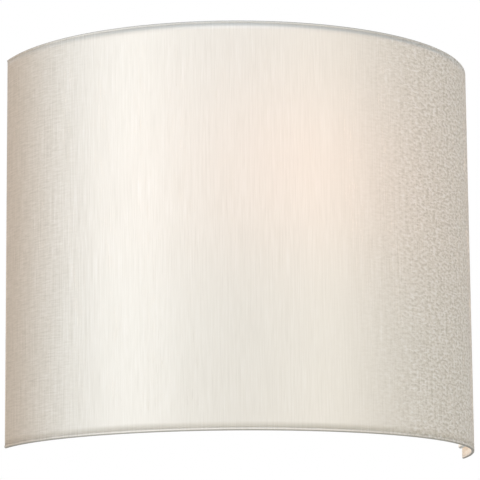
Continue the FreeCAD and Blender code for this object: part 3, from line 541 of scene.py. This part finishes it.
def paint_cloth_map(piece):
    """Give a piece of cloth on the arc its own map: metres round the arc and metres up."""
    layer = piece.data.uv_layers.new(name="cloth")
    for loop in piece.data.loops:
        place = piece.data.vertices[loop.vertex_index].co
        angle = math.atan2(place.x, ARC_CENTRE_Y - place.y)
        out = math.hypot(place.x, ARC_CENTRE_Y - place.y) - ARC_RADIUS
        layer.data[loop.index].uv = (angle * ARC_RADIUS, place.z + out * LEAN)


def cloth_panel():
    """The taut cloth: one sheet on the arc, with the faint lengthwise ripples of a hand-covered
    frame and a real thickness."""
    angle_end = HALF_ARC - ROLL_DEPTH / ARC_RADIUS
    level_end = SHADE_TOP - ROLL_DEPTH
    vertices = []
    for side_radius in (ARC_RADIUS, ARC_RADIUS - CLOTH_THICK):
        for row in range(HEIGHT_STEPS + 1):
            level = -level_end + 2 * level_end * row / HEIGHT_STEPS
            taut = min(1, (level_end - abs(level)) / TAUT_REACH)
            sway = SWAY * math.sin(level * SWAY_RATE)
            for column in range(ARC_STEPS + 1):
                angle = -angle_end + 2 * angle_end * column / ARC_STEPS
                ripple = -RIPPLE_DEPTH * taut * (1 + math.sin(angle * RIPPLE_RATE + sway))
                vertices.append(arc_point(angle, side_radius + ripple, level))
    rows, columns = HEIGHT_STEPS + 1, ARC_STEPS + 1
    inner = rows * columns
    faces = grid_faces(rows, columns)
    faces += [tuple(reversed(face)) for face in grid_faces(rows, columns, start=inner)]
    for column in range(columns - 1):
        top = (rows - 1) * columns
        faces.append((column, column + inner, column + 1 + inner, column + 1))
        faces.append((top + column, top + column + 1, top + column + 1 + inner, top + column + inner))
    for row in range(rows - 1):
        left, right = row * columns, row * columns + columns - 1
        faces.append((left, left + columns, left + columns + inner, left + inner))
        faces.append((right, right + inner, right + columns + inner, right + columns))
    panel = make_piece("shade_cloth", vertices, faces, silk)
    outward(panel)
    paint_cloth_map(panel)
    return panel


def turned_profile(inner, depth, steps=5):
    """The section of cloth turned over an edge: from the outside up to the edge, round the
    corner, over the film, round again and down inside.  Each point is (radius, distance from
    the edge)."""

    def turn(centre, reach, first):
        bends = [math.radians(first + 90 * i / steps) for i in range(steps + 1)]
        return [(centre + reach * math.cos(bend), ROLL - reach * math.sin(bend)) for bend in bends]

    def skin(inset):
        reach = ROLL - inset
        return ([(ARC_RADIUS - inset, ROLL_DEPTH)] + turn(ARC_RADIUS - ROLL, reach, 0)
                + turn(inner + ROLL, reach, 90) + [(inner + inset, depth)])

    return skin(0.0) + list(reversed(skin(HEM_CLOTH)))


def turned_edge(name, places, inner, depth):
    """An edge of cloth swept along places, each a function that puts (radius, from edge) in space."""
    profile = turned_profile(inner, depth)
    count = len(profile)
    vertices = [place(radius, below) for place in places for radius, below in profile]
    faces = grid_faces(len(places), count, close_columns=True) + end_caps(count, len(places) - 1)
    edge = make_piece(name, vertices, faces, silk)
    outward(edge)
    paint_cloth_map(edge)
    return edge


def end_caps(count, steps):
    """Quads across the two ends of a thin-walled swept channel of `count` points."""
    faces = []
    for start in (0, steps * count):
        for i in range(count // 2 - 1):
            faces.append((start + i, start + i + 1, start + count - 2 - i, start + count - 1 - i))
    return faces


EDGE_THICK = 1.8 * MM       # cloth, film and turned cloth, with the glue between them
HEM_INSIDE = ARC_RADIUS - EDGE_THICK
FOLD_OVER = 0.08 * MM       # the edge at the wall lies over the rims' hems
HEM_STEPS, EDGE_STEPS = 260, 60
RAW_WAVES = 6               # the raw edge inside is a sum of so many waves
WAVE_RATES = (20, 120)      # radians for each of the arc
WAVE_SIZES = (0.03, 0.10)   # millimetres


def rolled_hem(name, side):
    """The cloth turned over a rim and down inside, its raw edge there a little uneven."""
    dice = random.Random(name)
    waves = [(dice.uniform(*WAVE_RATES), dice.uniform(0, 6.28), dice.uniform(*WAVE_SIZES) * MM)
             for _ in range(RAW_WAVES)]

    def put(angle):
        wander = sum(size * math.sin(angle * rate + phase) for rate, phase, size in waves)

        def place(radius, below):
            raw = max(0.0, below - ROLL_DEPTH) / (HEM_HEIGHT - ROLL_DEPTH)
            return arc_point(angle, radius, side * (SHADE_TOP - below - wander * raw))
        return place

    places = [put(-HALF_ARC + 2 * HALF_ARC * i / HEM_STEPS) for i in range(HEM_STEPS + 1)]
    return turned_edge(name, places, HEM_INSIDE, HEM_HEIGHT)


def edge_hem(name, side):
    """The cloth turned over an edge at the wall and back along its inner side."""
    level_end = SHADE_TOP - ROLL_DEPTH

    def put(level):
        def place(radius, below):
            return arc_point(side * (HALF_ARC - below / ARC_RADIUS), radius, level)
        return place

    places = [put(-level_end + 2 * level_end * i / EDGE_STEPS) for i in range(EDGE_STEPS + 1)]
    return turned_edge(name + "_cloth", places, HEM_INSIDE - FOLD_OVER, HEM_HEIGHT)


# ---------------------------------------------------------------- threaded metal

SCREW_PITCH = 3.6 * MM      # of a 27 mm lamp screw
ROLLED_WALL = 0.4 * MM
RUN_OUT = 1 / 8             # share of a tube at each end where its thread fades out
AROUND, ROWS = 64, 90


def threaded_tube(name, node, material, thread_depth):
    """A rolled screw shell that stands for a CAD node: a tube whose wall follows a round thread."""
    low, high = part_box(node)
    radius = (high[0] - low[0]) / 2
    axis_x, axis_y = (low[0] + high[0]) / 2, (low[1] + high[1]) / 2
    vertices = []
    for skin in (0.0, ROLLED_WALL):
        for row in range(ROWS + 1):
            share = row / ROWS
            level = low[2] + (high[2] - low[2]) * share
            fade = min(1, share / RUN_OUT, (1 - share) / RUN_OUT)
            for column in range(AROUND):
                turn = 2 * math.pi * column / AROUND
                wave = 0.5 - 0.5 * math.cos(2 * math.pi * (level - low[2]) / SCREW_PITCH - turn)
                reach = radius - skin - thread_depth * wave * fade
                vertices.append((axis_x + reach * math.cos(turn), axis_y + reach * math.sin(turn),
                                 level))
    inner, top = (ROWS + 1) * AROUND, ROWS * AROUND
    faces = grid_faces(ROWS + 1, AROUND, True) + grid_faces(ROWS + 1, AROUND, True, inner)
    for column in range(AROUND):
        following = (column + 1) % AROUND
        for start in (0, top):
            faces.append((start + column, start + following, start + following + inner,
                          start + column + inner))
    tube = make_piece(name, vertices, faces, material)
    outward(tube)
    return tube


# ---------------------------------------------------------------- what repeats, by geometry nodes

def new_tree(name, inputs):
    """A geometry tree with a mesh out and named inputs; each input is (name, kind, default)."""
    tree = bpy.data.node_groups.new(name, "GeometryNodeTree")
    tree.interface.new_socket("Geometry", in_out="INPUT", socket_type="NodeSocketGeometry")
    tree.interface.new_socket("Geometry", in_out="OUTPUT", socket_type="NodeSocketGeometry")
    for label, kind, default in inputs:
        socket = tree.interface.new_socket(label, in_out="INPUT", socket_type=kind)
        socket.default_value = default
    return tree, add(tree, "NodeGroupInput"), add(tree, "NodeGroupOutput")


def finish_tree(tree, geometry, group_out, material):
    real = add(tree, "GeometryNodeRealizeInstances", {0: geometry})
    shaded = add(tree, "GeometryNodeSetMaterial", {"Geometry": real, "Material": material})
    tree.links.new(shaded.outputs[0], group_out.inputs[0])


def bake(piece, tree, values):
    """Apply a geometry tree to a piece and keep the result as its plain mesh."""
    modifier = piece.modifiers.new(tree.name, "NODES")
    modifier.node_group = tree
    for item in tree.interface.items_tree:
        if item.in_out == "INPUT" and item.name in values:
            modifier[item.identifier] = values[item.name]
    evaluated = piece.evaluated_get(bpy.context.evaluated_depsgraph_get())
    mesh = bpy.data.meshes.new_from_object(evaluated)
    piece.modifiers.clear()
    piece.data = mesh
    return piece


RIB_COUNT, RIB_RADIUS = 40, 0.55 * MM
RIB_SHARE = 0.62            # of the sleeve's height


def sleeve_ribs():
    """The grip ribs round the lampholder's sleeve."""
    tree, given, result = new_tree("grip_ribs", [
        ("Ribs", "NodeSocketInt", RIB_COUNT), ("Ring Radius", "NodeSocketFloat", 20 * MM),
        ("Rib Length", "NodeSocketFloat", 20 * MM), ("Rib Radius", "NodeSocketFloat", RIB_RADIUS),
        ("Centre", "NodeSocketVector", (0, 0, 0))])
    ring = add(tree, "GeometryNodeMeshCircle", {"Vertices": given.outputs["Ribs"],
                                                "Radius": given.outputs["Ring Radius"]})
    rib = add(tree, "GeometryNodeMeshCylinder", {"Vertices": 10, "Radius": given.outputs["Rib Radius"],
                                                 "Depth": given.outputs["Rib Length"]})
    placed = add(tree, "GeometryNodeInstanceOnPoints", {"Points": ring, "Instance": rib})
    moved = add(tree, "GeometryNodeTransform", {"Geometry": placed,
                                                "Translation": given.outputs["Centre"]})
    finish_tree(tree, moved, result, holder_white)
    low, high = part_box("holder_sleeve")
    piece = make_piece("holder_grip_ribs", [(0, 0, 0)], [], holder_white)
    return bake(piece, tree, {
        "Ribs": RIB_COUNT, "Ring Radius": (high[0] - low[0]) / 2,
        "Rib Length": (high[2] - low[2]) * RIB_SHARE, "Rib Radius": RIB_RADIUS,
        "Centre": (0, BULB_AXIS_Y, (low[2] + high[2]) / 2)})


YARN_DENSITY = 32000.0      # for each square metre
YARN_RADIUS, YARN_LENGTH = 0.11 * MM, 5 * MM
YARN_SEED = 3
YARN_SINK = 0.08 * MM       # its axis below the cloth's face
YARNS_FROM_END = 9 * MM     # they stop so far from the upright edges
YARNS_FROM_RIM = 10 * MM    # and from the top and the bottom


def slub_yarns():
    """Thick places in the yarn that stand a little proud of the cloth, scattered over its front."""
    tree, given, result = new_tree("slub_yarns", [
        ("Density", "NodeSocketFloat", YARN_DENSITY), ("Yarn Radius", "NodeSocketFloat", YARN_RADIUS),
        ("Yarn Length", "NodeSocketFloat", YARN_LENGTH), ("Seed", "NodeSocketInt", YARN_SEED)])
    scatter = add(tree, "GeometryNodeDistributePointsOnFaces", {
        "Mesh": given.outputs[0], "Density": given.outputs["Density"], "Seed": given.outputs["Seed"]})
    yarn = add(tree, "GeometryNodeMeshCone", {
        "Vertices": 5, "Side Segments": 1, "Radius Top": given.outputs["Yarn Radius"],
        "Radius Bottom": given.outputs["Yarn Radius"], "Depth": given.outputs["Yarn Length"]})
    size = add(tree, "FunctionNodeRandomValue", {"Min": (0.5, 0.5, 0.25), "Max": (1.0, 1.0, 1.6),
                                                 "Seed": given.outputs["Seed"]},
               data_type="FLOAT_VECTOR")
    placed = add(tree, "GeometryNodeInstanceOnPoints", {
        "Points": scatter.outputs["Points"], "Instance": yarn, "Scale": size})
    finish_tree(tree, placed, result, silk)
    angle_end = HALF_ARC - YARNS_FROM_END / ARC_RADIUS
    level_end = SHADE_TOP - YARNS_FROM_RIM
    rows, columns = 12, 120
    vertices = [arc_point(-angle_end + 2 * angle_end * column / columns, ARC_RADIUS - YARN_SINK,
                          -level_end + 2 * level_end * row / rows)
                for row in range(rows + 1) for column in range(columns + 1)]
    piece = make_piece("slub_yarns", vertices, grid_faces(rows + 1, columns + 1), silk)
    bake(piece, tree, {"Density": YARN_DENSITY, "Yarn Radius": YARN_RADIUS,
                       "Yarn Length": YARN_LENGTH, "Seed": YARN_SEED})
    paint_cloth_map(piece)
    return piece


# ---------------------------------------------------------------- put together

dress_nodes()

panel = cloth_panel()
top_hem = rolled_hem("top_hem_cloth", 1)
bottom_hem = rolled_hem("bottom_hem_cloth", -1)
left_hem = edge_hem("left_edge_hem", -1)
right_hem = edge_hem("right_edge_hem", 1)
yarns = slub_yarns()
for piece, node in ((panel, "shade_fabric"), (top_hem, "top_hem"), (bottom_hem, "bottom_hem"),
                    (left_hem, "left_edge_hem"), (right_hem, "right_edge_hem")):
    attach(piece, "shade")
    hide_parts(node)
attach(yarns, "shade")

cap = threaded_tube("bulb_screw_cap", "bulb_cap", nickel, 0.9 * MM)
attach(cap, "bulb")
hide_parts("bulb_cap")
shell = threaded_tube("holder_screw_shell", "thread_shell", brass, 0.5 * MM)
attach(shell, "root")
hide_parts("thread_shell")
ribs = sleeve_ribs()
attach(ribs, "root")


# ---------------------------------------------------------------- stage, light and camera

def seen_plainly(tree):
    """1 for the camera and for mirrors and glass, 0 for the light that falls on things."""
    rays = add(tree, "ShaderNodeLightPath").outputs
    mirrored = add(tree, "ShaderNodeMath", {0: rays["Is Glossy Ray"], 1: rays["Is Transmission Ray"]},
                   operation="MAXIMUM")
    return add(tree, "ShaderNodeMath", {0: rays["Is Camera Ray"], 1: mirrored}, operation="MAXIMUM")


def pale_stage_material():
    """A matt pale floor that the camera and mirrors see as white."""
    material, tree = new_material("pale_stage")
    surface = add(tree, "ShaderNodeBsdfPrincipled", {"Base Color": linear("#f2f2f0"), "Roughness": 0.9})
    white = add(tree, "ShaderNodeEmission", {"Color": (1, 1, 1, 1), "Strength": 0.25})
    both = add(tree, "ShaderNodeAddShader", {0: surface, 1: white})
    mixed = add(tree, "ShaderNodeMixShader", {0: seen_plainly(tree), 1: surface, 2: both})
    add(tree, "ShaderNodeOutputMaterial", {"Surface": mixed})
    return material


FLOOR_LEVEL, FLOOR_HALF = -0.62, 6.0


def stage_floor():
    corners = [(x * FLOOR_HALF, y * FLOOR_HALF, FLOOR_LEVEL)
               for x, y in ((-1, -1), (1, -1), (1, 1), (-1, 1))]
    floor = make_piece("stage_floor", corners, [(0, 1, 2, 3)], pale_stage_material(), smooth=False)


WORLD_FILL = 0.06


def studio_world():
    """Even pale fill; what the camera and mirrors see of it is white."""
    world = bpy.data.worlds.new("studio")
    bpy.context.scene.world = world
    world.use_nodes = True
    tree = world.node_tree
    tree.nodes.clear()
    fill = add(tree, "ShaderNodeBackground", {"Color": linear("#fff8ee"), "Strength": WORLD_FILL})
    white = add(tree, "ShaderNodeBackground", {"Color": (1, 1, 1, 1), "Strength": 1.0})
    mixed = add(tree, "ShaderNodeMixShader", {0: seen_plainly(tree), 1: fill, 2: white})
    add(tree, "ShaderNodeOutputWorld", {0: mixed})


def soft_lamp(name, azimuth, elevation, distance, size, power, hex_colour):
    """A square soft box that looks at the shade; azimuth 0 is in front, positive to the right."""
    data = bpy.data.lights.new(name, "AREA")
    data.shape = "SQUARE"
    data.size = size
    data.energy = power
    data.color = linear(hex_colour)[:3]
    lamp = bpy.data.objects.new(name, data)
    a, e = math.radians(azimuth), math.radians(elevation)
    way = Vector((math.sin(a) * math.cos(e), -math.cos(a) * math.cos(e), math.sin(e)))
    centre = Vector((0, SHADE_FRONT / 2, 0))
    lamp.location = centre + way * distance
    lamp.rotation_euler = (-way).to_track_quat("-Z", "Y").to_euler()
    bpy.context.scene.collection.objects.link(lamp)


CAMERA_PLACE = (-0.4970, -1.5862, -0.2853)
CAMERA_YAW, CAMERA_PITCH, CAMERA_ROLL = 17.44, 10.22, -0.49
CAMERA_LENS = 200.5


def camera_at_photo():
    """The photograph's view: from the left, a little below the middle of the shade."""
    data = bpy.data.cameras.new("photo_camera")
    data.sensor_width = 36.0
    data.lens = CAMERA_LENS
    data.clip_end = 100.0
    camera = bpy.data.objects.new("photo_camera", data)
    yaw, pitch, roll = (math.radians(x) for x in (CAMERA_YAW, CAMERA_PITCH, CAMERA_ROLL))
    forward = Vector((math.sin(yaw) * math.cos(pitch), math.cos(yaw) * math.cos(pitch), math.sin(pitch)))
    right = Vector((math.cos(yaw), -math.sin(yaw), 0))
    up = right.cross(forward)
    right_rolled = right * math.cos(roll) + up * math.sin(roll)
    up_rolled = up * math.cos(roll) - right * math.sin(roll)
    turn = Matrix((right_rolled, up_rolled, -forward)).transposed().to_4x4()
    camera.matrix_world = Matrix.Translation(CAMERA_PLACE) @ turn
    bpy.context.scene.collection.objects.link(camera)
    bpy.context.scene.camera = camera


stage_floor()
studio_world()
soft_lamp("key_from_left", -67, 8, 1.6, 0.9, 12.7, "#fcfeff")
soft_lamp("fill_from_right", 28, 3, 1.6, 0.9, 9.6, "#fff8ec")
soft_lamp("soft_from_above", -15, 50, 1.6, 0.9, 8.8, "#d3e5ff")
soft_lamp("soft_from_behind", 175, 35, 2.2, 1.5, 14.0, "#fffaf2")
camera_at_photo()
bpy.context.scene.view_settings.view_transform = "Standard"
